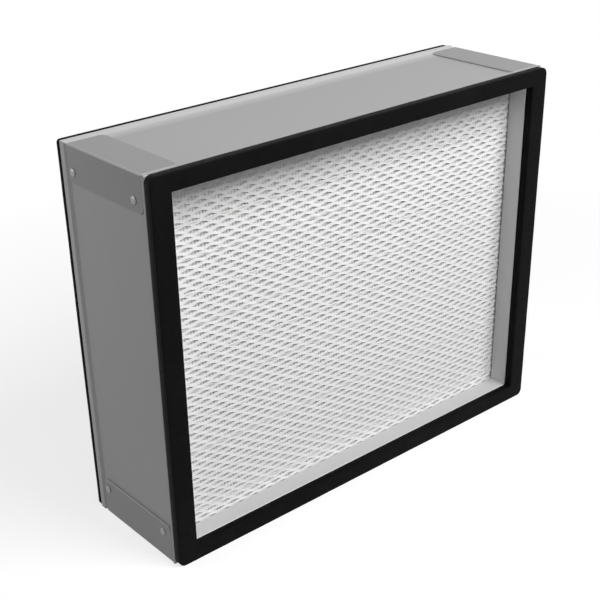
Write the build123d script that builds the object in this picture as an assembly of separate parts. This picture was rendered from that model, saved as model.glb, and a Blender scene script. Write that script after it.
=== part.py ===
from build123d import *
from math import asin, cos, hypot, sin
import os

# Air filter panel: a pleated media pack potted in a mitred channel frame, with expanded
# metal guards, corner brackets, rivets and a gasket on each face. Millimetres throughout.
# X runs along the long side, Y from the front face to the rear, Z up.
# The origin is the middle of the base, half way between the two gasket faces.

# Overall
panel_width = 585.0
panel_height = 457.0
frame_depth = 155.0

# Frame channel
channel_wall = 1.6
web_recess = 2.0
front_rim_width = 4.0
rear_rim_width = 9.0
front_recess_slope = 0.6
rear_recess_slope = 5.0
rim_edge_radius = 1.8
lip_bend_radius = 2.0
side_band_width = 25.0
end_band_width = 20.0
front_lip_depth = 25.0
rear_lip_depth = 25.0

# Gaskets
front_gasket_thickness = 10.0
rear_gasket_thickness = 6.0
front_gasket_corner_radius = 10.0
rear_gasket_corner_radius = 4.0
gasket_edge_bevel = 1.0

# Corner brackets
bracket_end_leg = 46.0
upper_bracket_side_leg = 42.5
lower_bracket_side_leg = 47.5
bracket_fit_gap = 0.2
bracket_leg_radius = 8.0
bracket_bend_radius = 1.8

# Domed rivets
rivet_shank_diameter = 4.8
rivet_hole_clearance = 0.05
rivet_head_diameter = 9.0
rivet_head_height = 1.6
rivet_tail_length = 4.5
rivet_from_leg_end = 13.0
front_rivet_setback = 15.5
rear_rivet_setback = 8.1

# Expanded metal guards
guard_thickness = 1.2
guard_tail_clearance = 1.5
guard_border = 1.0
diamond_long_way = 106.0
diamond_short_way = 52.0
strand_width = 11.0

# Pleated pack
media_thickness = 0.5
pleat_pitch = 6.8
fold_flat = 1.4
bead_spacing = 38.0
bead_foot_width = 2.6
bead_crest_width = 1.4
bead_height = 1.0

# Potting compound
sealant_thickness = 12.0
tail_pocket_clearance = 0.3

# Places worked out from the sizes above
overall_depth = front_gasket_thickness + frame_depth + rear_gasket_thickness
front_face_y = -overall_depth / 2
frame_front_y = front_face_y + front_gasket_thickness
frame_rear_y = frame_front_y + frame_depth
web_inner = web_recess + channel_wall
half_width = panel_width / 2
front_guard_y = frame_front_y + front_lip_depth
rear_guard_y = frame_rear_y - rear_lip_depth - guard_thickness
pack_front_y = front_guard_y + guard_thickness
pack_rear_y = rear_guard_y
pack_inset = web_inner + sealant_thickness
pack_width = panel_width - 2 * pack_inset
pack_height = panel_height - 2 * pack_inset
bracket_front_y = frame_front_y + front_rim_width + front_recess_slope + bracket_fit_gap
bracket_rear_y = frame_rear_y - rear_rim_width - rear_recess_slope - bracket_fit_gap
guard_inset = web_inner + rivet_tail_length + guard_tail_clearance
rivet_hole_radius = rivet_shank_diameter / 2 + rivet_hole_clearance

# Largest bend radii, as shares of the wall they round
lip_bend_limit = 1.5
bracket_bend_limit = 0.95

# Reach of the cutting bodies past the frame, and how near counts as touching
cut_margin = 5.0
touch_tolerance = 0.01


def corner_at(sketch, point):
    """The sketch's vertex nearest to a point of its own plane."""
    target = Vector(*point)
    return min(sketch.vertices(), key=lambda vertex: (Vector(vertex) - target).length)


def rounded(sketch, corners, radius):
    """The sketch with the named corners rounded."""
    return fillet([corner_at(sketch, corner) for corner in corners], radius)


def channel_section(band_width):
    """Section of a frame member: first coordinate from front to rear, second inwards."""
    front_rim_end = front_rim_width
    rear_rim_start = frame_depth - rear_rim_width
    points = [
        (0, 0),
        (front_rim_end, 0),
        (front_rim_end + front_recess_slope, web_recess),
        (rear_rim_start - rear_recess_slope, web_recess),
        (rear_rim_start, 0),
        (frame_depth, 0),
        (frame_depth, band_width),
        (frame_depth - rear_lip_depth, band_width),
        (frame_depth - rear_lip_depth, band_width - channel_wall),
        (frame_depth - channel_wall, band_width - channel_wall),
        (frame_depth - channel_wall, web_inner),
        (channel_wall, web_inner),
        (channel_wall, band_width - channel_wall),
        (front_lip_depth, band_width - channel_wall),
        (front_lip_depth, band_width),
        (0, band_width),
    ]
    section = make_face(Polyline(*points, close=True))
    section = rounded(section, [(0, 0), (frame_depth, 0)], rim_edge_radius)
    lip_bend = min(lip_bend_radius, channel_wall * lip_bend_limit)
    return rounded(section, [(0, band_width), (frame_depth, band_width)], lip_bend)


def mitre_steps(end_size, side_size):
    """Points of the mitre from outside a corner to inside the frame, as inset pairs."""
    slope_run = (side_size - channel_wall - web_inner, end_size - channel_wall - web_inner)
    reach = cut_margin / max(slope_run)
    return [
        (-cut_margin, -cut_margin),
        (web_inner, web_inner),
        (side_size - channel_wall, end_size - channel_wall),
        (side_size, end_size),
        (side_size + slope_run[0] * reach, end_size + slope_run[1] * reach),
    ]


def mitre_region(points):
    """Body through the whole depth over an outline in the front view."""
    outline = Plane.XZ * make_face(Polyline(*points, close=True))
    return extrude(outline, amount=overall_depth + cut_margin, both=True)


def frame_bottom():
    """Bottom channel, mitred at both ends."""
    section = Plane.YZ * channel_section(end_band_width)
    bar = extrude(Pos(-half_width, frame_front_y, 0) * section, amount=panel_width)
    steps = mitre_steps(end_band_width, side_band_width)
    left_side = [(side - half_width, end) for side, end in steps]
    right_side = [(half_width - side, end) for side, end in reversed(steps)]
    return bar & mitre_region(left_side + right_side)


def frame_left():
    """Left channel, mitred at both ends to meet the top and bottom ones."""
    section = Plane.YX * channel_section(side_band_width)
    bar = extrude(Pos(-half_width, frame_front_y, 0) * section, amount=-panel_height)
    steps = mitre_steps(end_band_width, side_band_width)
    lower_side = [(side - half_width, end) for side, end in steps]
    upper_side = [(side - half_width, panel_height - end) for side, end in reversed(steps)]
    return bar & mitre_region(lower_side + upper_side)


def rivet_rows(side_leg):
    """Depth and height of the two rivets of a lower bracket's side leg."""
    height = side_leg - rivet_from_leg_end
    return [
        (bracket_front_y + front_rivet_setback, height),
        (bracket_rear_y - rear_rivet_setback, height),
    ]


def rivet_bores(side_leg, radius, reach):
    """Bores along X for the rivets of a lower left bracket, from outside to a reach."""
    length = cut_margin + reach
    bores = []
    for depth, height in rivet_rows(side_leg):
        centre = (-half_width - cut_margin + length / 2, depth, height)
        bores.append(Pos(*centre) * Rot(0, 90, 0) * Cylinder(radius, length))
    return bores


def corner_bracket(side_leg):
    """L plate of the lower left corner, flush with the rims, with its rivet holes."""
    points = [
        (0, 0),
        (bracket_end_leg, 0),
        (bracket_end_leg, web_recess),
        (web_recess, web_recess),
        (web_recess, side_leg),
        (0, side_leg),
    ]
    section = make_face(Polyline(*points, close=True))
    bend = min(bracket_bend_radius, web_recess * bracket_bend_limit)
    section = rounded(section, [(0, 0)], bend)
    depth = bracket_rear_y - bracket_front_y
    plate = Pos(-half_width, bracket_front_y, 0) * extrude(Plane.XZ * section, amount=-depth)
    side_corners = plate.edges().filter_by(Axis.X).group_by(Axis.Z)[-1]
    plate = fillet(side_corners, bracket_leg_radius)
    end_corners = plate.edges().filter_by(Axis.Z).group_by(Axis.X)[-1]
    plate = fillet(end_corners, bracket_leg_radius)
    return plate - rivet_bores(side_leg, rivet_hole_radius, web_inner)


def rivet():
    """Domed rivet along X, its head's underside at the origin and its head towards -X."""
    head_radius = rivet_head_diameter / 2
    shank_radius = rivet_shank_diameter / 2
    tail_end = web_inner + rivet_tail_length
    dome_radius = (head_radius**2 + rivet_head_height**2) / (2 * rivet_head_height)
    dome_centre = dome_radius - rivet_head_height
    half_angle = asin(min(1, head_radius / dome_radius)) / 2
    dome = ThreePointArc(
        (-rivet_head_height, 0),
        (dome_centre - dome_radius * cos(half_angle), dome_radius * sin(half_angle)),
        (0, head_radius),
    )
    stem = Polyline(
        (0, head_radius),
        (0, shank_radius),
        (tail_end, shank_radius),
        (tail_end, 0),
        (-rivet_head_height, 0),
    )
    return revolve(make_face(dome + stem), Axis.X)


def gasket(face_y, thickness, outward, corner_radius):
    """Flat ring on a flange, its outer corners rounded and its free face eased."""
    outer = RectangleRounded(panel_width, panel_height, corner_radius)
    inner = Rectangle(panel_width - 2 * side_band_width, panel_height - 2 * end_band_width)
    ring = Plane((0, face_y, panel_height / 2), x_dir=(1, 0, 0), z_dir=(0, outward, 0)) * (outer - inner)
    body = extrude(ring, amount=thickness)
    free_face = body.faces().filter_by(Axis.Y).sort_by(Axis.Y)[-1 if outward > 0 else 0]
    return chamfer(free_face.edges(), gasket_edge_bevel)


def diamond(centre, half_long, half_short, open_half_width, open_half_height):
    """One opening of the expanded metal, cut off square where it meets the border."""
    x, z = centre
    corners = [(x - half_long, z), (x, z - half_short), (x + half_long, z), (x, z + half_short)]
    kept = [
        (px, pz)
        for px, pz in corners
        if abs(px) <= open_half_width + touch_tolerance
        and abs(pz) <= open_half_height + touch_tolerance
    ]
    return Wire(Polyline(*kept, close=True).edges())


def guard(near_y):
    """Expanded metal sheet: staggered diamonds inside a plain border under the lips."""
    sheet_width = panel_width - 2 * guard_inset
    sheet_height = panel_height - 2 * guard_inset
    open_width = panel_width - 2 * (side_band_width + guard_border)
    open_height = panel_height - 2 * (end_band_width + guard_border)
    columns = max(1, round(open_width / diamond_long_way))
    rows = max(1, round(open_height / diamond_short_way))
    long_pitch = open_width / columns
    short_pitch = open_height / rows
    strand_share = strand_width * hypot(long_pitch, short_pitch) / (long_pitch * short_pitch)
    half_long = long_pitch / 2 * (1 - strand_share)
    half_short = short_pitch / 2 * (1 - strand_share)
    centres = [
        (long_pitch * (column / 2 - columns / 2), short_pitch * (row / 2 - rows / 2))
        for column in range(2 * columns + 1)
        for row in range(2 * rows + 1)
        if (column + row) % 2 == 0 and not (column in (0, 2 * columns) and row in (0, 2 * rows))
    ]
    openings = [
        diamond(centre, half_long, half_short, open_width / 2, open_height / 2)
        for centre in centres
    ]
    outline = Rectangle(sheet_width, sheet_height).face().outer_wire()
    sheet = Plane((0, near_y, panel_height / 2), x_dir=(1, 0, 0), z_dir=(0, 1, 0)) * Face(outline, openings)
    return extrude(sheet, amount=guard_thickness)


def media_pack():
    """One sheet of filter paper in deep pleats, flat at the tips and sharp inside the folds."""
    front = pack_front_y + bead_height
    rear = pack_rear_y - bead_height
    pleats = max(2, round(pack_width / pleat_pitch))
    pitch = pack_width / pleats
    outer_flat = fold_flat / 2
    left = -pack_width / 2
    front_side = [(left, rear - media_thickness)]
    rear_side = [(left, rear)]
    for pleat in range(pleats):
        valley = left + pleat * pitch
        crest = valley + pitch / 2
        next_valley = valley + pitch
        front_side += [(crest - outer_flat, front), (crest + outer_flat, front)]
        front_side.append((next_valley, rear - media_thickness))
        rear_side += [(valley + outer_flat, rear), (crest, front + media_thickness)]
        rear_side.append((next_valley - outer_flat, rear))
    rear_side.append((left + pack_width, rear))
    outline = make_face(Polyline(*front_side, *reversed(rear_side), close=True))
    return extrude(Pos(0, 0, pack_inset) * outline, amount=pack_height)


def separator_beads(guard_y, inward):
    """Threads of hot melt across the pleat tips, between them and a guard."""
    count = max(1, round(pack_height / bead_spacing))
    spacing = pack_height / count
    tip_y = guard_y + inward * bead_height
    section = [
        (guard_y, -bead_crest_width / 2),
        (guard_y, bead_crest_width / 2),
        (tip_y, bead_foot_width / 2),
        (tip_y, -bead_foot_width / 2),
    ]
    profile = Plane.YZ * make_face(Polyline(*section, close=True))
    first = pack_inset + spacing / 2
    return Compound(
        [
            extrude(Pos(-pack_width / 2, 0, first + row * spacing) * profile, amount=pack_width).solid()
            for row in range(count)
        ]
    )


def sealant_bottom():
    """Potting between the bottom channel and the pack, over the whole length."""
    depth = pack_rear_y - pack_front_y
    length = panel_width - 2 * web_inner
    middle = (0, (pack_front_y + pack_rear_y) / 2, web_inner + sealant_thickness / 2)
    return Pos(*middle) * Box(length, depth, sealant_thickness)


def sealant_left():
    """Potting at the left of the pack, with pockets round the rivet tails."""
    depth = pack_rear_y - pack_front_y
    middle_x = -half_width + web_inner + sealant_thickness / 2
    middle_y = (pack_front_y + pack_rear_y) / 2
    strip = Pos(middle_x, middle_y, panel_height / 2) * Box(sealant_thickness, depth, pack_height)
    pocket_radius = rivet_shank_diameter / 2 + tail_pocket_clearance
    pocket_reach = web_inner + rivet_tail_length + tail_pocket_clearance
    lower = rivet_bores(lower_bracket_side_leg, pocket_radius, pocket_reach)
    upper = rivet_bores(upper_bracket_side_leg, pocket_radius, pocket_reach)
    return strip - lower - [mirror(bore, mid_height) for bore in upper]


mid_height = Plane.XY.offset(panel_height / 2)
parts = {}

hole_reach = web_inner + cut_margin
lower_holes = rivet_bores(lower_bracket_side_leg, rivet_hole_radius, hole_reach)
upper_holes = [
    mirror(hole, mid_height)
    for hole in rivet_bores(upper_bracket_side_leg, rivet_hole_radius, hole_reach)
]

parts["frame_bottom"] = frame_bottom()
parts["frame_top"] = mirror(parts["frame_bottom"], mid_height)
parts["frame_left"] = frame_left() - lower_holes - upper_holes
parts["frame_right"] = mirror(parts["frame_left"], Plane.YZ)

parts["bracket_bottom_left"] = corner_bracket(lower_bracket_side_leg)
parts["bracket_top_left"] = mirror(corner_bracket(upper_bracket_side_leg), mid_height)
parts["bracket_bottom_right"] = mirror(parts["bracket_bottom_left"], Plane.YZ)
parts["bracket_top_right"] = mirror(parts["bracket_top_left"], Plane.YZ)

left_rivets = []
for depth, height in rivet_rows(lower_bracket_side_leg):
    left_rivets.append(Pos(-half_width, depth, height) * rivet())
for depth, height in rivet_rows(upper_bracket_side_leg):
    left_rivets.append(Pos(-half_width, depth, panel_height - height) * rivet())
right_rivets = [mirror(one, Plane.YZ) for one in left_rivets]
parts["rivets"] = Compound([one.solid() for one in left_rivets + right_rivets])

parts["guard_front"] = guard(front_guard_y)
parts["guard_rear"] = guard(rear_guard_y)
parts["media_pack"] = media_pack()
parts["separator_beads_front"] = separator_beads(pack_front_y, 1)
parts["separator_beads_rear"] = separator_beads(pack_rear_y, -1)

parts["sealant_bottom"] = sealant_bottom()
parts["sealant_top"] = mirror(parts["sealant_bottom"], mid_height)
parts["sealant_left"] = sealant_left()
parts["sealant_right"] = mirror(parts["sealant_left"], Plane.YZ)

parts["gasket_front"] = gasket(frame_front_y, front_gasket_thickness, -1, front_gasket_corner_radius)
parts["gasket_rear"] = gasket(frame_rear_y, rear_gasket_thickness, 1, rear_gasket_corner_radius)

os.makedirs("parts", exist_ok=True)
for name, shape in parts.items():
    export_step(shape, f"parts/{name}.step")
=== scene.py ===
import logging
import math
from dataclasses import dataclass, field
from enum import Enum
from typing import Any, Optional, Sequence, Union

import bmesh
import bpy
from mathutils import Euler, Matrix, Vector, noise


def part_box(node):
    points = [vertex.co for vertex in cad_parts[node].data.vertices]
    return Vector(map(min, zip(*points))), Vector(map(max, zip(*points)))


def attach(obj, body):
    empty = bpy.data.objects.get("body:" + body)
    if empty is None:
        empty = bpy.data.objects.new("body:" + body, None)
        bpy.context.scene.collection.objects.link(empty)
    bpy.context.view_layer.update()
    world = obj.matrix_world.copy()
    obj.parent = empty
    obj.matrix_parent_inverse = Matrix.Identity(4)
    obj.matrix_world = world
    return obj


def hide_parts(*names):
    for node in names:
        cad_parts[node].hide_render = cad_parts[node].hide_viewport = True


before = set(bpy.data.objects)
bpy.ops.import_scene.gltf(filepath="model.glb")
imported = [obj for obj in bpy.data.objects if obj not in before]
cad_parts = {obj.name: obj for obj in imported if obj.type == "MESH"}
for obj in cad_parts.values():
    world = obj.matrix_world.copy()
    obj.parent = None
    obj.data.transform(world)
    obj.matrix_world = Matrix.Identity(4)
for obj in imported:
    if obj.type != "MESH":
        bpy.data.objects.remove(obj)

# Looks of a rectangular air filter panel. Metres; X along the long side, Y from the front
# face to the rear, Z up, with the origin in the middle of the base.

LOG = logging.getLogger("filter_panel")
MM = 0.001
BODY = "root"
EDGE_HIGHLIGHT = "worn"
MERGE_REACH = 1e-6

Number = Union[int, float]
Colour = tuple[float, float, float]
Point = tuple[float, float, float]


class Slot(Enum):
    """The names of the material slots that go with the new pieces."""

    BRACKETS = "bracket_metal"
    RIVETS = "rivet_metal"
    GUARD = "guard_enamel"
    PAPER = "filter_paper"
    GASKET = "gasket_foam"


class Face(Enum):
    """The two open faces of the panel, as the sign of Y that they look towards."""

    FRONT = -1
    REAR = 1

    @property
    def word(self) -> str:
        """The face's name as it stands in the names of the nodes."""
        return self.name.lower()


class Wire:
    """One output socket that takes part in Python arithmetic, as Math nodes."""

    def __init__(self, bench: "Bench", socket: bpy.types.NodeSocket) -> None:
        """Holds a socket.

        Args:
            bench: The node tree's bench, which adds the nodes.
            socket: The output that this wire carries.
        """
        self.bench = bench
        self.socket = socket

    def maths(self, operation: str, *others: "Term", first: Optional["Term"] = None) -> "Wire":
        """Adds one Math node.

        Args:
            operation: The Math node's operation.
            others: What goes into the node after this wire.
            first: What goes in before this wire, for the reflected forms.

        Returns:
            The node's result.
        """
        terms = [*([] if first is None else [first]), self, *others]
        return self.bench.wire("ShaderNodeMath", {"operation": operation}, dict(enumerate(terms)))

    def __add__(self, other: "Term") -> "Wire":
        """Sum."""
        return self.maths("ADD", other)

    def __radd__(self, other: "Term") -> "Wire":
        """Sum, reflected."""
        return self.maths("ADD", first=other)

    def __sub__(self, other: "Term") -> "Wire":
        """Difference."""
        return self.maths("SUBTRACT", other)

    def __rsub__(self, other: "Term") -> "Wire":
        """Difference, reflected."""
        return self.maths("SUBTRACT", first=other)

    def __mul__(self, other: "Term") -> "Wire":
        """Product."""
        return self.maths("MULTIPLY", other)

    def __rmul__(self, other: "Term") -> "Wire":
        """Product, reflected."""
        return self.maths("MULTIPLY", first=other)

    def __truediv__(self, other: "Term") -> "Wire":
        """Quotient."""
        return self.maths("DIVIDE", other)

    def __rtruediv__(self, other: "Term") -> "Wire":
        """Quotient, reflected."""
        return self.maths("DIVIDE", first=other)

    def __floordiv__(self, other: "Term") -> "Wire":
        """Whole part of the quotient."""
        return (self / other).maths("FLOOR")

    def __mod__(self, other: "Term") -> "Wire":
        """Rest after division, never negative."""
        return self.maths("FLOORED_MODULO", other)

    def __neg__(self) -> "Wire":
        """Negative."""
        return self.maths("MULTIPLY", -1.0)

    def sine(self) -> "Wire":
        """Sine of the wire, in radians."""
        return self.maths("SINE")

    def cosine(self) -> "Wire":
        """Cosine of the wire, in radians."""
        return self.maths("COSINE")

    def spread(self, low: Number, high: Number, to_low: Number, to_high: Number) -> "Wire":
        """Maps a range to another one and holds the ends.

        Args:
            low: Start of the range that is read.
            high: End of the range that is read.
            to_low: What low becomes.
            to_high: What high becomes.

        Returns:
            The mapped value.
        """
        inputs = {
            "Value": self, "From Min": low, "From Max": high, "To Min": to_low, "To Max": to_high
        }
        return self.bench.wire("ShaderNodeMapRange", {"clamp": True}, inputs)


Term = Union[Wire, Number]


class Bench:
    """Adds nodes to one node tree."""

    def __init__(self, tree: bpy.types.NodeTree) -> None:
        """Takes a tree over.

        Args:
            tree: The shader or geometry tree to build in.
        """
        self.tree = tree

    def node(
        self,
        kind: str,
        settings: Optional[dict[str, Any]] = None,
        inputs: Optional[dict[Union[int, str], Any]] = None,
    ) -> bpy.types.Node:
        """Adds a node, sets it up and feeds its inputs.

        Args:
            kind: The node's type name.
            settings: Properties of the node, which are set first.
            inputs: Values, wires or lists of wires, by the input's name or number.

        Returns:
            The new node.
        """
        made = self.tree.nodes.new(kind)
        for name, value in (settings or {}).items():
            setattr(made, name, value)
        for key, value in (inputs or {}).items():
            for one in value if isinstance(value, list) else [value]:
                if isinstance(one, Wire):
                    self.tree.links.new(one.socket, made.inputs[key])
                else:
                    made.inputs[key].default_value = one
        return made

    def wire(
        self,
        kind: str,
        settings: Optional[dict[str, Any]] = None,
        inputs: Optional[dict[Union[int, str], Any]] = None,
        output: Union[int, str] = 0,
    ) -> Wire:
        """Adds a node and gives one of its outputs.

        Args:
            kind: The node's type name.
            settings: Properties of the node.
            inputs: Values or wires, by the input's name or number.
            output: The output's name or number.

        Returns:
            That output.
        """
        return Wire(self, self.node(kind, settings, inputs).outputs[output])

    def vector(self, x: Term = 0.0, y: Term = 0.0, z: Term = 0.0) -> Wire:
        """Joins three values into a vector."""
        return self.wire("ShaderNodeCombineXYZ", inputs={"X": x, "Y": y, "Z": z})

    def parts_of(self, vector: Wire) -> tuple[Wire, Wire, Wire]:
        """Splits a vector into its three values."""
        x, y, z = self.node("ShaderNodeSeparateXYZ", inputs={0: vector}).outputs
        return Wire(self, x), Wire(self, y), Wire(self, z)


class ShaderBench(Bench):
    """Builds one material around a Principled shader."""

    def __init__(self, name: str) -> None:
        """Makes the material with its shader and output.

        Args:
            name: The material's name.
        """
        self.material = bpy.data.materials.new(name)
        self.material.use_nodes = True
        super().__init__(self.material.node_tree)
        self.tree.nodes.clear()
        self.place = self.wire("ShaderNodeTexCoord", output="Object")

    def stretched(self, scale: Point) -> Wire:
        """The piece's own coordinates, stretched.

        Args:
            scale: How many times each axis is multiplied.

        Returns:
            The stretched vector.
        """
        return self.wire("ShaderNodeMapping", inputs={"Vector": self.place, "Scale": scale})

    def cloud(self, vector: Wire, scale: float, detail: float = 3.0, rough: float = 0.5) -> Wire:
        """Adds soft noise.

        Args:
            vector: Where it is read.
            scale: How fine it is.
            detail: How many finer layers it has.
            rough: How strong those are.

        Returns:
            The noise, from 0 to 1.
        """
        inputs = {"Vector": vector, "Scale": scale, "Detail": detail, "Roughness": rough}
        return self.wire("ShaderNodeTexNoise", inputs=inputs)

    def cells(self, vector: Wire, scale: float) -> Wire:
        """Distance to the nearest of many scattered points."""
        return self.wire("ShaderNodeTexVoronoi", inputs={"Vector": vector, "Scale": scale})

    def blend(self, factor: Term, first: Union[Wire, Colour], second: Union[Wire, Colour]) -> Wire:
        """Mixes two colours.

        Args:
            factor: 0 for the first and 1 for the second.
            first: A colour or a wire that carries one.
            second: A colour or a wire that carries one.

        Returns:
            The mixed colour.
        """
        first, second = ((*one, 1.0) if isinstance(one, tuple) else one for one in (first, second))
        inputs = {0: factor, 6: first, 7: second}
        return self.wire("ShaderNodeMix", {"data_type": "RGBA"}, inputs, 2)

    def bump(self, height: Wire, depth: float, strength: float = 1.0) -> Wire:
        """Turns a height into a normal.

        Args:
            height: The height, from 0 to 1.
            depth: How far 1 stands out, in metres.
            strength: Share of the bump that is used.

        Returns:
            The bumped normal.
        """
        inputs = {"Height": height, "Distance": depth, "Strength": strength}
        return self.wire("ShaderNodeBump", inputs=inputs)

    def close(self, **feeds: Any) -> bpy.types.Material:
        """Adds the Principled shader and the output.

        Args:
            feeds: Values or wires by the shader's socket names, with _ for a space.

        Returns:
            The finished material.
        """
        inputs = {name.replace("_", " "): value for name, value in feeds.items()}
        surface = self.wire("ShaderNodeBsdfPrincipled", inputs=inputs)
        self.node("ShaderNodeOutputMaterial", inputs={"Surface": surface})
        return self.material


def grey(level: float) -> Colour:
    """A neutral colour of one level."""
    return (level, level, level)


@dataclass(frozen=True)
class SatinMetal:
    """Satin aluminium with faint streaks along its rolling direction and handling marks; it can
    also carry painted light: paler inner flange faces for bounced light, and painted highlights on
    the rear rim and on eased edges.
    """

    name: str
    tone: float
    streak_scale: Point = (1.0, 1.0, 1.0)
    contrast: float = 0.05
    metallic: float = 0.1
    roughness: float = 0.42
    streak_density: float = 900.0
    mark_size: float = 9.0
    relief: float = 0.012 * MM
    streak_share: float = 0.6
    mark_share: float = 1.4
    roughness_spread: tuple[float, float] = (0.06, 0.07)
    # Painted bounce light: paler tone for the inner faces of the flanges.
    lip_tone: float = 0.0
    lip_window: tuple[float, float] = (268.3 * MM, 209.3 * MM)
    lip_middle: float = 228.5 * MM
    # Painted highlight: lighter tone along the rear rim and the band in front of it.
    rim_tone: float = 0.0
    rim_fade: tuple[float, float] = (70.0 * MM, 71.0 * MM)
    # Painted highlight: lighter tone on the eased edge faces marked in the mesh.
    worn_tone: float = 0.0

    def on_lips(self, bench: ShaderBench) -> Wire:
        """Marks the inner faces of the flanges, which get a paler tone as painted bounce light
        from the white guard.

        Args:
            bench: The material's bench.

        Returns:
            1 on those faces and 0 elsewhere.
        """
        x, _, z = bench.parts_of(bench.place)
        aside = x.maths("ABSOLUTE").maths("LESS_THAN", self.lip_window[0])
        above = (z - self.lip_middle).maths("ABSOLUTE").maths("LESS_THAN", self.lip_window[1])
        return aside * above

    def material(self) -> bpy.types.Material:
        """Builds the finish.

        Returns:
            The material.
        """
        bench = ShaderBench(self.name)
        streaks = bench.cloud(bench.stretched(self.streak_scale), self.streak_density, 2.0)
        marks = bench.cloud(bench.place, self.mark_size, 5.0, 0.62)
        shade = (streaks - 0.5) * self.streak_share + (marks - 0.5) * self.mark_share
        light, dark = self.tone * (1 + self.contrast), self.tone * (1 - self.contrast)
        colour = bench.blend((shade + 0.5).spread(0.2, 0.8, 0, 1), grey(dark), grey(light))
        # Painted bounce light: the flanges' inner faces are made paler, as light thrown back by
        # the white guard would make them.
        if self.lip_tone:
            colour = bench.blend(self.on_lips(bench), colour, grey(self.lip_tone))
        # Painted highlight: towards the rear rim the colour turns lighter, as if the rim and the
        # slope before it catch the light.
        if self.rim_tone:
            rear = bench.parts_of(bench.place)[1].spread(*self.rim_fade, 0, 1)
            colour = bench.blend(rear, colour, grey(self.rim_tone))
        # Painted highlight: the eased edge faces, marked in the mesh, turn lighter as if catching
        # the light.
        if self.worn_tone:
            worn = bench.wire("ShaderNodeAttribute", {"attribute_name": EDGE_HIGHLIGHT}, output="Fac")
            colour = bench.blend(worn, colour, grey(self.worn_tone))
        less, more = self.roughness_spread
        smooth, dull = self.roughness - less, self.roughness + more
        rough = (marks * 0.6 + streaks * 0.4).spread(0.3, 0.7, smooth, dull)
        normal = bench.bump(streaks, self.relief)
        return bench.close(
            Base_Color=colour, Metallic=self.metallic, Roughness=rough, Normal=normal
        )


@dataclass(frozen=True)
class GasketFoam:
    """Black closed cell foam: fine pores, a soft skin and a trace of dust."""

    name: str = "gasket foam"
    tone: Colour = (0.0030, 0.0030, 0.0031)
    dust: Colour = (0.0070, 0.0070, 0.0072)
    pore_density: float = 1500.0
    pore_depth: float = 0.12 * MM
    skin_density: float = 260.0
    dust_density: float = 14.0
    roughness: tuple[float, float] = (0.57, 0.74)
    gloss: float = 0.06

    def material(self) -> bpy.types.Material:
        """Builds the finish.

        Returns:
            The material.
        """
        bench = ShaderBench(self.name)
        pores = bench.cells(bench.place, self.pore_density)
        skin = bench.cloud(bench.place, self.skin_density, 4.0)
        dusty = bench.cloud(bench.place, self.dust_density, 5.0, 0.65).spread(0.45, 0.75, 0.0, 0.8)
        colour = bench.blend(dusty, self.tone, self.dust)
        normal = bench.bump(pores * 0.7 + skin * 0.6, self.pore_depth)
        rough = skin.spread(0.3, 0.7, *self.roughness)
        return bench.close(
            Base_Color=colour, Roughness=rough, Normal=normal, Specular_IOR_Level=self.gloss
        )


@dataclass(frozen=True)
class WhiteEnamel:
    """Baked white coating on steel, with a faint orange peel and thinner, greyer patches."""

    name: str = "white enamel"
    tone: Colour = (0.86, 0.86, 0.86)
    thin: Colour = (0.78, 0.78, 0.78)
    peel_density: float = 700.0
    peel_depth: float = 0.03 * MM
    patch_density: float = 60.0
    roughness: tuple[float, float] = (0.42, 0.52)
    gloss: float = 0.3

    def material(self) -> bpy.types.Material:
        """Builds the finish.

        Returns:
            The material.
        """
        bench = ShaderBench(self.name)
        peel = bench.cloud(bench.place, self.peel_density, 2.0)
        patches = bench.cloud(bench.place, self.patch_density, 3.0).spread(0.4, 0.7, 0.0, 1.0)
        colour = bench.blend(patches * 0.5, self.tone, self.thin)
        rough = patches.spread(0.0, 1.0, *self.roughness)
        normal = bench.bump(peel, self.peel_depth)
        return bench.close(
            Base_Color=colour, Roughness=rough, Normal=normal, Specular_IOR_Level=self.gloss
        )


@dataclass(frozen=True)
class FilterPaper:
    """Matt glass fibre paper, off-white with crossing fibres and slightly cloudy."""

    name: str = "filter paper"
    tone: Colour = (0.95, 0.95, 0.94)
    cloudy: Colour = (0.92, 0.92, 0.91)
    fibre_density: float = 1400.0
    fibre_length: float = 0.12
    fibre_relief: float = 0.05 * MM
    cloud_density: float = 120.0
    roughness: tuple[float, float] = (0.86, 0.95)
    gloss: float = 0.2

    def material(self) -> bpy.types.Material:
        """Builds the finish.

        Returns:
            The material.
        """
        bench = ShaderBench(self.name)
        density, length = self.fibre_density, self.fibre_length
        upright = bench.cloud(bench.stretched((1.0, 1.0, length)), density, 3.0, 0.7)
        across = bench.cloud(bench.stretched((length, 1.0, 1.0)), density, 3.0, 0.7)
        clouds = bench.cloud(bench.place, self.cloud_density, 4.0).spread(0.35, 0.7, 0.0, 1.0)
        colour = bench.blend(clouds, self.tone, self.cloudy)
        normal = bench.bump(upright * 0.5 + across * 0.5, self.fibre_relief)
        rough = clouds.spread(0.0, 1.0, *self.roughness)
        return bench.close(
            Base_Color=colour, Roughness=rough, Normal=normal, Specular_IOR_Level=self.gloss
        )


@dataclass(frozen=True)
class CastPlastic:
    """Poured or extruded compound: a smooth skin with shallow flow marks."""

    name: str
    tone: Colour
    shade: Colour
    roughness: float
    flow_density: float = 90.0
    flow_depth: float = 0.1 * MM

    def material(self) -> bpy.types.Material:
        """Builds the finish.

        Returns:
            The material.
        """
        bench = ShaderBench(self.name)
        flow = bench.cloud(bench.place, self.flow_density, 3.0)
        colour = bench.blend(flow.spread(0.35, 0.7, 0.0, 1.0), self.tone, self.shade)
        rough = flow.spread(0.3, 0.7, self.roughness - 0.05, self.roughness + 0.08)
        normal = bench.bump(flow, self.flow_depth)
        return bench.close(Base_Color=colour, Roughness=rough, Normal=normal)


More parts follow.
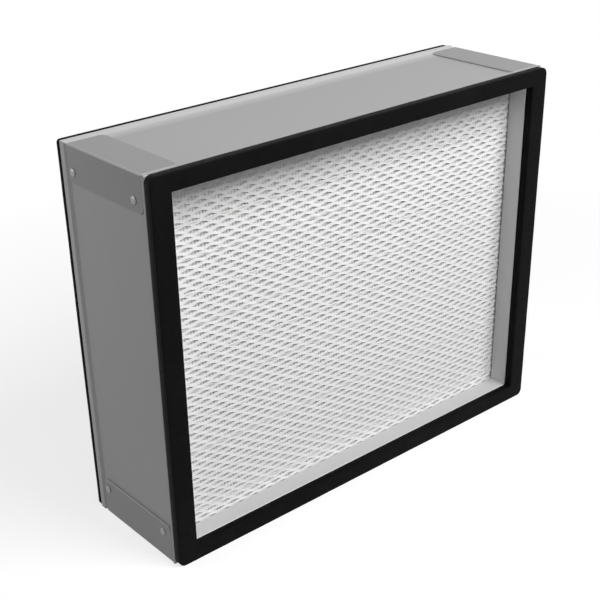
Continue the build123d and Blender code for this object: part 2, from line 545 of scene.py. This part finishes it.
class GeometryBench(Bench):
    """Builds one Geometry Nodes tree with named sizes and turns its result into a mesh."""

    KINDS = {float: "NodeSocketFloat", int: "NodeSocketInt", bpy.types.Object: "NodeSocketObject"}

    def __init__(self, name: str) -> None:
        """Makes the tree with its input and output.

        Args:
            name: The tree's name.
        """
        super().__init__(bpy.data.node_groups.new(name, "GeometryNodeTree"))
        ends = {"in_out": "OUTPUT", "socket_type": "NodeSocketGeometry"}
        self.tree.interface.new_socket("Geometry", **ends)
        self.entry = self.tree.nodes.new("NodeGroupInput")
        self.values: dict[str, Any] = {}

    def size(self, name: str, value: Union[Number, bpy.types.Object]) -> Wire:
        """Adds a named input.

        Args:
            name: The input's name.
            value: What the modifier is given for it.

        Returns:
            The input as a wire.
        """
        kind = self.KINDS[bpy.types.Object if isinstance(value, bpy.types.Object) else type(value)]
        item = self.tree.interface.new_socket(name, in_out="INPUT", socket_type=kind)
        self.values[item.identifier] = value
        return Wire(self, self.entry.outputs[name])

    def shape_of(self, thing: Wire) -> Wire:
        """The mesh of an object that comes in as an input."""
        return self.wire("GeometryNodeObjectInfo", inputs={"Object": thing}, output="Geometry")

    def index(self) -> Wire:
        """Number of each point."""
        return self.wire("GeometryNodeInputIndex")

    def shaken(self, vector: Wire, scale: float, reach: Term) -> Wire:
        """Steady noise about zero.

        Args:
            vector: Where it is read.
            scale: How fine it is.
            reach: The most that it gives, either way.

        Returns:
            The noise.
        """
        inputs = {"Vector": vector, "Scale": scale, "Detail": 1.0}
        raw = self.wire("ShaderNodeTexNoise", inputs=inputs)
        return (raw - 0.5) * 2.0 * reach

    def moved(self, geometry: Wire, **change: Wire) -> Wire:
        """Sets or shifts the positions of a geometry.

        Args:
            geometry: What is moved.
            change: The new Position or the Offset of every point.

        Returns:
            The moved geometry.
        """
        inputs = {"Geometry": geometry, **change}
        return self.wire("GeometryNodeSetPosition", inputs=inputs)

    def joined(self, geometry: Wire) -> Wire:
        """Merges the points of a geometry that lie on each other."""
        inputs = {"Geometry": geometry, "Distance": MERGE_REACH}
        return self.wire("GeometryNodeMergeByDistance", inputs=inputs)

    def finish(self, name: str, geometry: Wire, material: bpy.types.Material) -> bpy.types.Object:
        """Ends the tree, runs it once and keeps the result as a plain mesh.

        Args:
            name: The new object's name.
            geometry: What the tree has made.
            material: The finish of all its faces.

        Returns:
            The object, with no modifier left.
        """
        solid = self.wire("GeometryNodeRealizeInstances", inputs={"Geometry": geometry})
        inputs = {"Geometry": solid, "Material": material}
        dressed = self.wire("GeometryNodeSetMaterial", inputs=inputs)
        self.node("NodeGroupOutput", inputs={"Geometry": dressed})
        made = new_object(name, bpy.data.meshes.new(name))
        modifier = made.modifiers.new(name, "NODES")
        modifier.node_group = self.tree
        for identifier, value in self.values.items():
            modifier[identifier] = value
        graph = bpy.context.evaluated_depsgraph_get()
        result = bpy.data.meshes.new_from_object(made.evaluated_get(graph))
        made.modifiers.clear()
        made.data = result
        result.name = name
        face_outwards(result)
        return made


def new_object(name: str, data: Optional[bpy.types.ID]) -> bpy.types.Object:
    """Adds an object at the origin.

    Args:
        name: Its name.
        data: Its mesh, light or camera.

    Returns:
        The object.
    """
    made = bpy.data.objects.new(name, data)
    bpy.context.scene.collection.objects.link(made)
    return made


def face_outwards(mesh: bpy.types.Mesh) -> None:
    """Points the faces of every closed shell outwards.

    Args:
        mesh: The mesh, which is changed in place.
    """
    work = bmesh.new()
    work.from_mesh(mesh)
    bmesh.ops.recalc_face_normals(work, faces=work.faces)
    work.to_mesh(mesh)
    work.free()


def mesh_of(name: str, points: Sequence[Vector], faces: Sequence[Sequence[int]]) -> bpy.types.Mesh:
    """Makes a smooth shaded mesh with its faces outwards.

    Args:
        name: The mesh's name.
        points: Its corners.
        faces: The corners of each face.

    Returns:
        The mesh.
    """
    mesh = bpy.data.meshes.new(name)
    mesh.from_pydata(points, [], faces)
    face_outwards(mesh)
    mesh.shade_smooth()
    return mesh


def stitched(
    rows: Sequence[Sequence[Vector]], closed: bool
) -> tuple[list[Vector], list[list[int]]]:
    """Joins closed loops of equal length into a skin.

    Args:
        rows: The loops, one after another.
        closed: Whether the last loop is joined to the first.

    Returns:
        The points and the faces.
    """
    around = len(rows[0])
    points = [point for row in rows for point in row]
    faces = []
    for row in range(len(rows) if closed else len(rows) - 1):
        first, second = row * around, (row + 1) % len(rows) * around
        for step in range(around):
            after = (step + 1) % around
            faces.append([first + step, first + after, second + after, second + step])
    return points, faces


def place_piece(piece: bpy.types.Object, slot: Slot, *nodes: str) -> bpy.types.Object:
    """Hands a finished piece to the frame.

    Args:
        piece: The piece, with its place in its mesh.
        slot: The material slot it stands for; not used.
        nodes: The nodes that it stands for.

    Returns:
        The piece.
    """
    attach(piece, BODY)
    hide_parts(*nodes)
    LOG.info("%s stands for %s, %d faces", piece.name, ", ".join(nodes), len(piece.data.polygons))
    return piece


@dataclass
class Gasket:
    """One foam ring on a flange, with rounded corners, soft edges and a little unevenness."""

    face: Face
    finish: GasketFoam = field(default_factory=GasketFoam)
    corner_radius: float = 8 * MM
    inner_radius: float = 1.2 * MM
    edge_radius: float = 1.3 * MM
    band_side: float = 25 * MM
    band_end: float = 20 * MM
    unevenness: float = 0.35 * MM
    wave_density: float = 22.0
    wave_step: float = 7.0
    edge_steps: int = 5
    corner_steps: int = 10
    side_steps: int = 40

    def outline(self, inset: float, y: float, opening: bool) -> list[Vector]:
        """One closed loop round the ring.

        Args:
            inset: How far it lies inside the ring's own edge.
            y: Its depth.
            opening: Whether it follows the opening and not the outside.

        Returns:
            The loop's points, the same number for every loop.
        """
        low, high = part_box(f"gasket_{self.face.word}")
        if opening:
            half_width = (high.x - low.x) / 2 - self.band_side + inset
            half_height = (high.z - low.z) / 2 - self.band_end + inset
            radius = self.inner_radius + inset
        else:
            half_width = (high.x - low.x) / 2 - inset
            half_height = (high.z - low.z) / 2 - inset
            radius = self.corner_radius - inset
        middle = (low.z + high.z) / 2
        corners = []
        for quarter, (side, end) in enumerate([(1, 1), (-1, 1), (-1, -1), (1, -1)]):
            across, up = side * (half_width - radius), end * (half_height - radius)
            centre = Vector((across, y, middle + up))
            for step in range(self.corner_steps + 1):
                angle = (quarter + step / self.corner_steps) * math.pi / 2
                corners.append(centre + radius * Vector((math.cos(angle), 0, math.sin(angle))))
        loop = []
        for number, point in enumerate(corners):
            loop.append(point)
            if number % (self.corner_steps + 1) == self.corner_steps:
                after = corners[(number + 1) % len(corners)]
                shares = [step / self.side_steps for step in range(1, self.side_steps)]
                loop += [point.lerp(after, share) for share in shares]
        return loop

    def rows(self) -> list[list[Vector]]:
        """The ring's loops: out along the free face and back along the flange.

        Returns:
            The loops, in order round the section.
        """
        low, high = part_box(f"gasket_{self.face.word}")
        free, seat = (low.y, high.y) if self.face is Face.FRONT else (high.y, low.y)
        inwards = math.copysign(self.edge_radius, seat - free)
        rows = [self.outline(0.0, seat, False), self.outline(0.0, (seat + free) / 2, False)]
        for step in range(self.edge_steps + 1):
            turn = step / self.edge_steps * math.pi / 2
            inset = self.edge_radius * (1 - math.cos(turn))
            rows.append(self.outline(inset, free + inwards * (1 - math.sin(turn)), False))
        outer, inner = rows[-1], self.outline(self.edge_radius, free, True)
        for share in (0.25, 0.5, 0.75):
            rows.append([a.lerp(b, share) for a, b in zip(outer, inner)])
        for step in range(self.edge_steps, -1, -1):
            turn = step / self.edge_steps * math.pi / 2
            inset = self.edge_radius * (1 - math.cos(turn))
            rows.append(self.outline(inset, free + inwards * (1 - math.sin(turn)), True))
        rows += [self.outline(0.0, (seat + free) / 2, True), self.outline(0.0, seat, True)]
        return rows

    def settled(self, point: Vector) -> Vector:
        """Pulls a point a little towards the ring's middle, as soft foam lies.

        Args:
            point: A point of the ring.

        Returns:
            The point in its place.
        """
        low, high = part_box(f"gasket_{self.face.word}")
        seat = high.y if self.face is Face.FRONT else low.y
        apart = Vector((0, self.face.value * self.wave_step, 0))
        pull = abs(noise.noise(point * self.wave_density + apart))
        freedom = abs(point.y - seat) / (high.y - low.y)
        middle = (low.z + high.z) / 2
        inward = Vector((-point.x / (high.x - low.x), 0, (middle - point.z) / (high.z - low.z)))
        depth = Vector((0, math.copysign(1.0, seat - point.y) if freedom else 0, 0))
        return point + (inward + depth * freedom) * pull * self.unevenness

    def build(self) -> bpy.types.Object:
        """Makes the ring and hands it over.

        Returns:
            The ring.
        """
        points, faces = stitched(self.rows(), closed=True)
        name = f"gasket_{self.face.word}_ring"
        mesh = mesh_of(name, [self.settled(point) for point in points], faces)
        mesh.materials.append(self.finish.material())
        return place_piece(new_object(name, mesh), Slot.GASKET, f"gasket_{self.face.word}")


@dataclass
class ExpandedMetalGuard:
    """Expanded metal sheet: zigzag strands joined in rows, each twisted out of the sheet."""

    face: Face
    finish: WhiteEnamel = field(default_factory=WhiteEnamel)
    long_way: float = 21.5 * MM
    short_way: float = 11.85 * MM
    strand: float = 3.6 * MM
    gauge: float = 0.6 * MM
    twist: float = math.radians(26)
    bond: float = 3.4 * MM
    knuckle: float = 0.9 * MM
    knuckle_drop: float = 0.16
    lean: float = 0.3
    sheet_wave: float = 0.12 * MM
    wave_density: float = 9.0

    def strand_row(self, bench: GeometryBench, columns: int) -> Wire:
        """One zigzag strand over the sheet's whole length.

        Args:
            bench: Where the tree is built.
            columns: How many sections the strand has.

        Returns:
            The closed strand, centred on its first knuckle.
        """
        long_way = bench.size("Long way", self.long_way)
        short_way = bench.size("Short way", self.short_way)
        strand = bench.size("Strand width", self.strand)
        gauge = bench.size("Sheet thickness", self.gauge)
        twist = bench.size("Twist", self.twist)
        bond = bench.size("Bond length", self.bond)
        knuckle = bench.size("Knuckle length", self.knuckle)
        drop = bench.size("Knuckle drop", self.knuckle_drop)
        lean = bench.size("Lean of the rows", self.lean)

        corners_round = 4
        counts = {"Vertices X": columns, "Vertices Y": corners_round + 1}
        grid = bench.wire("GeometryNodeMeshGrid", inputs=counts)
        number = bench.index()
        column = number // (corners_round + 1)
        corner = (number % (corners_round + 1)) % corners_round

        inner_column = (column - 1).maths("MAXIMUM", 0.0).maths("MINIMUM", columns - 3)
        is_end = 1 - (column - inner_column - 1).maths("COMPARE", 0.0, 0.5)
        thick = 1 - is_end
        half = inner_column // 4
        step = inner_column % 4
        side = (step // 2) * 2 - 1
        outer = (step % 2) * 2 - 1
        peak = 1 - (half % 2) * 2

        width_up = strand * twist.cosine()
        rise = short_way / 4 - width_up / 2
        level = peak * (1 - drop * (1 + side * outer) / 2)
        across = ((corner + 0.5) / 2 - 1).maths("SIGN") * strand / 2 * thick
        next_corner = (corner + 1) % corners_round
        through = ((next_corner + 0.5) / 2 - 1).maths("SIGN") * gauge / 2 * thick
        x = half * long_way / 2 + side * bond / 2 + outer * knuckle / 2
        y = through * twist.cosine() + across * twist.sine() - level * strand * twist.sine() * lean
        z = level * rise + across * twist.cosine() - through * twist.sine()
        bent = bench.moved(grid, Position=bench.vector(x, y, z))
        return bench.joined(bent)

    def build(self) -> bpy.types.Object:
        """Makes the sheet and hands it over.

        Returns:
            The sheet.
        """
        node = f"guard_{self.face.word}"
        low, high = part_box(node)
        width, height = high.x - low.x, high.z - low.z
        half_periods = 2 * int((width - self.long_way) / self.long_way) + 1
        rows = int((height - self.strand) / (self.short_way / 2))
        run = (half_periods - 1) * self.long_way / 2

        bench = GeometryBench(f"{node} tree")
        row = self.strand_row(bench, 4 * half_periods + 2)
        count = bench.size("Rows", rows)
        lift = bench.size("Row spacing", self.short_way / 2)
        shift = bench.size("Row stagger", self.long_way / 2)
        wave = bench.size("Sheet wave", self.sheet_wave)
        spacing = {"Count": count, "Offset": bench.vector(z=lift)}
        line = bench.wire("GeometryNodeMeshLine", inputs=spacing)
        staggered = bench.moved(line, Offset=bench.vector(x=(bench.index() % 2) * shift))
        inputs = {"Points": staggered, "Instance": row}
        sheet = bench.wire("GeometryNodeInstanceOnPoints", inputs=inputs)
        solid = bench.wire("GeometryNodeRealizeInstances", inputs={"Geometry": sheet})
        place = bench.wire("GeometryNodeInputPosition")
        bulge = bench.shaken(place, self.wave_density, wave)
        waved = bench.moved(solid, Offset=bench.vector(y=bulge))
        piece = bench.finish(f"{node}_mesh", waved, self.finish.material())

        lowest = -(run + self.long_way / 2) / 2
        first_row = (low.z + high.z) / 2 - (rows - 1) * self.short_way / 4
        piece.data.transform(Matrix.Translation((lowest, 0, first_row)))
        piece.data.transform(Matrix.Rotation(0 if self.face is Face.FRONT else math.pi, 4, "Z"))
        reach = max(abs(corner.co.y) for corner in piece.data.vertices)
        outer_face = low.y if self.face is Face.FRONT else high.y
        piece.data.transform(Matrix.Translation((0, outer_face - self.face.value * reach, 0)))
        return place_piece(piece, Slot.GUARD, node)


@dataclass
class PleatedPack:
    """One sheet of filter paper in deep pleats with rounded, slightly wandering folds."""

    finish: FilterPaper = field(default_factory=FilterPaper)
    pitch: float = 4.2 * MM
    thickness: float = 0.5 * MM
    fold_radius: float = 1.55 * MM
    fold_turn: float = math.radians(36)
    wander: float = 0.1 * MM
    drift_density: Point = (3.7, 30.0, 0.5)
    sink_density: Point = (2.3, 18.0, 8.5)
    levels: int = 24
    columns_per_fold: int = 5

    def build(self) -> bpy.types.Object:
        """Makes the pack and hands it over.

        Returns:
            The pack.
        """
        low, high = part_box("media_pack")
        folds = 2 * round((high.x - low.x) / self.pitch)
        per_fold = self.columns_per_fold
        bench = GeometryBench("media_pack tree")
        width = bench.size("Pack width", high.x - low.x)
        height = bench.size("Pack height", high.z - low.z)
        depth = bench.size("Pack depth", high.y - low.y)
        thickness = bench.size("Paper thickness", self.thickness)
        radius = bench.size("Fold radius", self.fold_radius)
        turn = bench.size("Fold turn", self.fold_turn)
        wander = bench.size("Wander", self.wander)

        counts = {"Vertices X": per_fold * folds, "Vertices Y": self.levels}
        grid = bench.wire("GeometryNodeMeshGrid", inputs=counts)
        number = bench.index()
        column = number // self.levels
        level = number % self.levels
        fold = column // per_fold
        angle = (column % per_fold - per_fold // 2) * turn
        facing = 1 - (fold % 2) * 2
        z = level / (self.levels - 1) * height
        drift, sink = (
            bench.shaken(bench.vector(fold * by_fold, z * by_height, seed), 1.0, wander)
            for by_fold, by_height, seed in (self.drift_density, self.sink_density)
        )
        x = (fold + 0.5) / folds * width - width / 2 + radius * angle.sine() + drift
        reach = depth / 2 - thickness - wander + sink - radius * (1 - angle.cosine())
        sheet = bench.moved(grid, Position=bench.vector(x, -facing * reach, z))
        inputs = {"Mesh": sheet, "Offset Scale": thickness, "Individual": False}
        skin = bench.wire("GeometryNodeExtrudeMesh", {"mode": "FACES"}, inputs)
        back = bench.wire("GeometryNodeFlipFaces", inputs={"Mesh": sheet})
        both = bench.wire("GeometryNodeJoinGeometry", inputs={"Geometry": [skin, back]})
        smooth = bench.wire("GeometryNodeSetShadeSmooth", inputs={"Geometry": bench.joined(both)})
        piece = bench.finish("media_pack_folds", smooth, self.finish.material())
        piece.data.transform(Matrix.Translation((0, (low.y + high.y) / 2, low.z)))
        return place_piece(piece, Slot.PAPER, "media_pack")


@dataclass
class RivetSet:
    """The eight domed rivets of the corner brackets."""

    finish: SatinMetal = SatinMetal(
        "rivet metal", 0.33, metallic=0.5, roughness=0.25, contrast=0.08
    )
    head_radius: float = 4.5 * MM
    head_height: float = 1.6 * MM
    head_lip: float = 0.7 * MM
    shank_radius: float = 2.4 * MM
    shank_length: float = 8.1 * MM
    from_leg_end: float = 13 * MM
    front_setback: float = 15.5 * MM
    rear_setback: float = 8.1 * MM
    dome_steps: int = 8
    around: int = 40

    def one_rivet(self) -> bpy.types.Mesh:
        """A rivet along Z, its head's underside at the origin and its head upwards.

        Returns:
            The mesh.
        """
        rise = self.head_height - self.head_lip
        dome_radius = (self.head_radius**2 + rise**2) / (2 * rise)
        widest = math.asin(self.head_radius / dome_radius)
        profile = [(0.0, -self.shank_length), (self.shank_radius, -self.shank_length)]
        profile += [(self.shank_radius, 0.0), (self.head_radius, 0.0)]
        for step in range(self.dome_steps + 1):
            turn = widest * (1 - step / self.dome_steps)
            height = self.head_height - dome_radius * (1 - math.cos(turn))
            profile.append((dome_radius * math.sin(turn), height))
        rings = []
        for radius, height in profile[1:-1]:
            ring = []
            for step in range(self.around):
                turn = step / self.around * math.tau
                ring.append(Vector((radius * math.cos(turn), radius * math.sin(turn), height)))
            rings.append(ring)
        points, faces = stitched(rings, closed=False)
        for centre, ring in ((profile[0], 0), (profile[-1], len(rings) - 1)):
            pole = len(points)
            points.append(Vector((0, 0, centre[1])))
            start = ring * self.around
            faces += [[start + n, start + (n + 1) % self.around, pole] for n in range(self.around)]
        return mesh_of("rivet", points, faces)

    def seats(self) -> list[Vector]:
        """Where the heads lie on the brackets' side legs.

        Returns:
            Eight points.
        """
        points = []
        for side, sign in (("left", -1), ("right", 1)):
            for end in ("bottom", "top"):
                low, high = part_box(f"bracket_{end}_{side}")
                x = low.x if sign < 0 else high.x
                z = high.z - self.from_leg_end if end == "bottom" else low.z + self.from_leg_end
                for y in (low.y + self.front_setback, high.y - self.rear_setback):
                    points.append(Vector((x, y, z)))
        return points

    def build(self) -> bpy.types.Object:
        """Sets a rivet on each seat and hands them over.

        Returns:
            The rivets.
        """
        pattern = new_object("rivet pattern", self.one_rivet())
        holes = new_object("rivet seats", mesh_of("rivet seats", self.seats(), []))
        bench = GeometryBench("rivets tree")
        rivet = bench.shape_of(bench.size("Rivet", pattern))
        seats = bench.shape_of(bench.size("Seats", holes))
        turn = bench.size("Quarter turn", math.pi / 2)
        side = bench.parts_of(bench.wire("GeometryNodeInputPosition"))[0].maths("SIGN")
        inputs = {"Points": seats, "Instance": rivet, "Rotation": bench.vector(y=side * turn)}
        heads = bench.wire("GeometryNodeInstanceOnPoints", inputs=inputs)
        piece = bench.finish("rivet_heads", heads, self.finish.material())
        for helper in (pattern, holes):
            bpy.data.objects.remove(helper)
        return place_piece(piece, Slot.RIVETS, "rivets")


@dataclass
class CornerBracket:
    """One bent corner plate, with the eased outer edges that a press leaves."""

    node: str
    # Its lighter edge tone is a painted highlight on the eased edges.
    finish: SatinMetal = SatinMetal(
        "bracket metal", 0.25, (1.0, 0.05, 1.0), roughness=0.38, worn_tone=0.38
    )
    edge_ease: float = 1.0 * MM
    ease_steps: int = 3
    sharp_from: float = math.radians(50)
    plate: float = 2.0 * MM
    hidden_share: float = 0.95
    flat_turn: float = 1e-3
    flat_share: float = 0.9999

    def build(self) -> bpy.types.Object:
        """Rounds the outer edges of the plate's outline and hands it over.

        Returns:
            The bracket.
        """
        low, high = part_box(self.node)
        outer_x = high.x if low.x > 0 else low.x
        outer_z = low.z if "bottom" in self.node else high.z
        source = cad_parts[self.node]
        work = bmesh.new()
        work.from_mesh(source.data)
        work.transform(source.matrix_world)
        bmesh.ops.remove_doubles(work, verts=work.verts, dist=MERGE_REACH)
        bmesh.ops.dissolve_limit(
            work, angle_limit=self.flat_turn, verts=work.verts, edges=work.edges
        )

        def within(corner: bmesh.types.BMVert) -> bool:
            """Whether a corner lies on the plate's hidden side."""
            deep = self.hidden_share * self.plate
            return abs(corner.co.x - outer_x) > deep and abs(corner.co.z - outer_z) > deep

        sharp = [edge for edge in work.edges if edge.calc_face_angle(0.0) > self.sharp_from]
        outer = [edge for edge in sharp if not all(within(corner) for corner in edge.verts)]
        eased = {"offset": self.edge_ease, "segments": self.ease_steps, "profile": 0.5}
        bmesh.ops.bevel(work, geom=outer, affect="EDGES", **eased)
        for face in work.faces:
            face.smooth = max(abs(share) for share in face.normal) < self.flat_share
        mesh = bpy.data.meshes.new(f"{self.node}_plate")
        work.to_mesh(mesh)
        work.free()
        face_outwards(mesh)
        # The eased edge faces are marked for the painted highlight in the bracket finish.
        worn = mesh.attributes.new(EDGE_HIGHLIGHT, "FLOAT", "FACE")
        worn.data.foreach_set("value", [float(face.use_smooth) for face in mesh.polygons])
        mesh.materials.append(self.finish.material())
        return place_piece(new_object(mesh.name, mesh), Slot.BRACKETS, self.node)


@dataclass
class MetalFrame:
    """The channel frame and what is poured into it: the nodes that stay."""

    # The lip tones paint bounce light onto the flanges' inner faces, and the rim tones paint a
    # highlight along the rear rim, in both finishes.
    upright: SatinMetal = SatinMetal(
        "frame metal upright", 0.36, (1.0, 1.0, 0.02), lip_tone=0.70, rim_tone=0.43
    )
    # The top and bottom members get a wider soft band of painted highlight running up to the rear
    # rim.
    level: SatinMetal = SatinMetal(
        "frame metal level", 0.36, (0.02, 1.0, 1.0),
        lip_tone=0.70, rim_tone=0.60, rim_fade=(48 * MM, 72 * MM),
    )
    potting: CastPlastic = CastPlastic("potting", (0.78, 0.74, 0.62), (0.70, 0.66, 0.54), 0.35)
    hot_melt: CastPlastic = CastPlastic("hot melt", (0.88, 0.88, 0.87), (0.83, 0.83, 0.82), 0.4)

    def dress(self) -> None:
        """Gives every node that stays its finish."""
        finishes = {
            "frame_left": self.upright, "frame_right": self.upright,
            "frame_top": self.level, "frame_bottom": self.level,
            "sealant": self.potting, "separator": self.hot_melt,
        }
        made = {finish.name: finish.material() for finish in finishes.values()}
        for name, node in sorted(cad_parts.items()):
            if node.hide_render:
                continue
            finish = next(finishes[start] for start in finishes if name.startswith(start))
            for place in node.material_slots:
                place.material = made[finish.name]
            LOG.info("%s keeps its shape, in %s", name, finish.name)


@dataclass(frozen=True)
class Lamp:
    """A square soft lamp."""

    name: str
    place: Point
    size: float
    level: float

    def hang(self, target: Point) -> None:
        """Hangs the lamp so that it looks at the panel.

        Its level is what it adds to a white surface that faces it there.

        Args:
            target: Where the panel stands.
        """
        away = Vector(self.place) - Vector(target)
        data = bpy.data.lights.new(self.name, "AREA")
        data.size = self.size
        data.energy = self.level * (math.pi * away.length) ** 2
        lamp = new_object(self.name, data)
        turned = away.to_track_quat("Z", "Y").to_matrix().to_4x4()
        lamp.matrix_world = Matrix.Translation(self.place) @ turned


@dataclass
class Studio:
    """Pale floor, soft lamps and the camera."""

    camera_place: Point = (-0.8631, -0.9712, 0.8180)
    camera_azimuth: float = math.radians(39.48)
    camera_elevation: float = math.radians(28.03)
    camera_roll: float = math.radians(-1.52)
    focal_length: float = 70.14
    shift: tuple[float, float] = (0.025, 0.1)
    floor_size: float = 14.0
    floor_seen: float = 0.92
    floor_lit: float = 0.13
    floor_glow: float = 0.62
    floor_glow_level: float = 1.2
    floor_fade: tuple[float, float] = (0.55, 1.1)
    sky_level: float = 0.09
    target: Point = (0.0, 0.0, 0.22)
    lamps: tuple[Lamp, ...] = (
        Lamp("key lamp", (0.45, -1.35, 1.80), 1.15, 0.90),
        Lamp("fill lamp", (-0.75, -2.1, 1.1), 1.0, 0.08),
        Lamp("side lamp", (-1.7, 1.2, 1.0), 1.5, 0.26),
    )

    def camera(self) -> None:
        """Places the camera."""
        data = bpy.data.cameras.new("camera")
        data.lens = self.focal_length
        data.shift_x, data.shift_y = self.shift
        view = new_object("camera", data)
        turned = Euler((math.pi / 2 - self.camera_elevation, 0, -self.camera_azimuth))
        rolled = turned.to_matrix().to_4x4() @ Matrix.Rotation(self.camera_roll, 4, "Z")
        view.matrix_world = Matrix.Translation(self.camera_place) @ rolled
        bpy.context.scene.camera = view

    def seen(self, bench: Bench) -> Wire:
        """Tells the rays that show things from those that light them.

        Args:
            bench: The bench of a material or of the sky.

        Returns:
            1 for rays from the camera, a mirror or glass, and 0 for the others.
        """
        path = bench.node("ShaderNodeLightPath")
        kinds = ("Is Camera Ray", "Is Glossy Ray", "Is Transmission Ray")
        camera, glossy, through = (Wire(bench, path.outputs[kind]) for kind in kinds)
        return (camera + glossy + through).maths("MINIMUM", 1.0)

    def floor(self) -> None:
        """Lays the floor, which looks white and keeps the object's shadow."""
        half = self.floor_size / 2
        corners = [(-half, -half, 0), (half, -half, 0), (half, half, 0), (-half, half, 0)]
        mesh = bpy.data.meshes.new("floor")
        mesh.from_pydata(corners, [], [(0, 1, 2, 3)])
        bench = ShaderBench("floor paint")
        lit = bench.wire("ShaderNodeBsdfDiffuse", inputs={"Color": (*grey(self.floor_lit), 1.0)})
        pale = bench.wire("ShaderNodeBsdfDiffuse", inputs={"Color": (*grey(self.floor_seen), 1.0)})
        glow = bench.wire("ShaderNodeEmission", inputs={"Strength": self.floor_glow_level})
        white = bench.wire("ShaderNodeEmission", inputs={"Strength": 1.0})
        near = bench.wire("ShaderNodeMixShader", inputs={0: self.floor_glow, 1: pale, 2: glow})
        length = {"operation": "LENGTH"}
        away = bench.wire("ShaderNodeVectorMath", length, {0: bench.place}, "Value")
        far = away.spread(*self.floor_fade, 0, 1)
        shown = bench.wire("ShaderNodeMixShader", inputs={0: far, 1: near, 2: white})
        surface = bench.wire("ShaderNodeMixShader", inputs={0: self.seen(bench), 1: lit, 2: shown})
        bench.node("ShaderNodeOutputMaterial", inputs={"Surface": surface})
        mesh.materials.append(bench.material)
        new_object("floor", mesh)

    def sky(self) -> None:
        """Sets an even sky: white where it is seen, and softer as light."""
        world = bpy.data.worlds.new("sky")
        world.use_nodes = True
        world.node_tree.nodes.clear()
        bpy.context.scene.world = world
        bench = Bench(world.node_tree)
        strength = self.seen(bench) * (1.0 - self.sky_level) + self.sky_level
        inputs = {"Color": (*grey(1.0), 1.0), "Strength": strength}
        light = bench.wire("ShaderNodeBackground", inputs=inputs)
        bench.node("ShaderNodeOutputWorld", inputs={"Surface": light})

    def build(self) -> None:
        """Sets the whole studio up."""
        bpy.context.scene.view_settings.view_transform = "Standard"
        self.camera()
        self.floor()
        self.sky()
        for lamp in self.lamps:
            lamp.hang(self.target)


def main() -> None:
    """Builds the panel's looks piece by piece."""
    logging.basicConfig(level=logging.INFO, format="%(name)s: %(message)s")
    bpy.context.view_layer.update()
    pieces = [Gasket(Face.FRONT).build(), Gasket(Face.REAR, corner_radius=4 * MM).build()]
    pieces += [ExpandedMetalGuard(face).build() for face in Face]
    pieces.append(PleatedPack().build())
    pieces.append(RivetSet().build())
    for end in ("bottom", "top"):
        pieces += [CornerBracket(f"bracket_{end}_{side}").build() for side in ("left", "right")]
    MetalFrame().dress()
    Studio().build()
    LOG.info("%d pieces made", len(pieces))


if __name__ == "__main__":
    main()
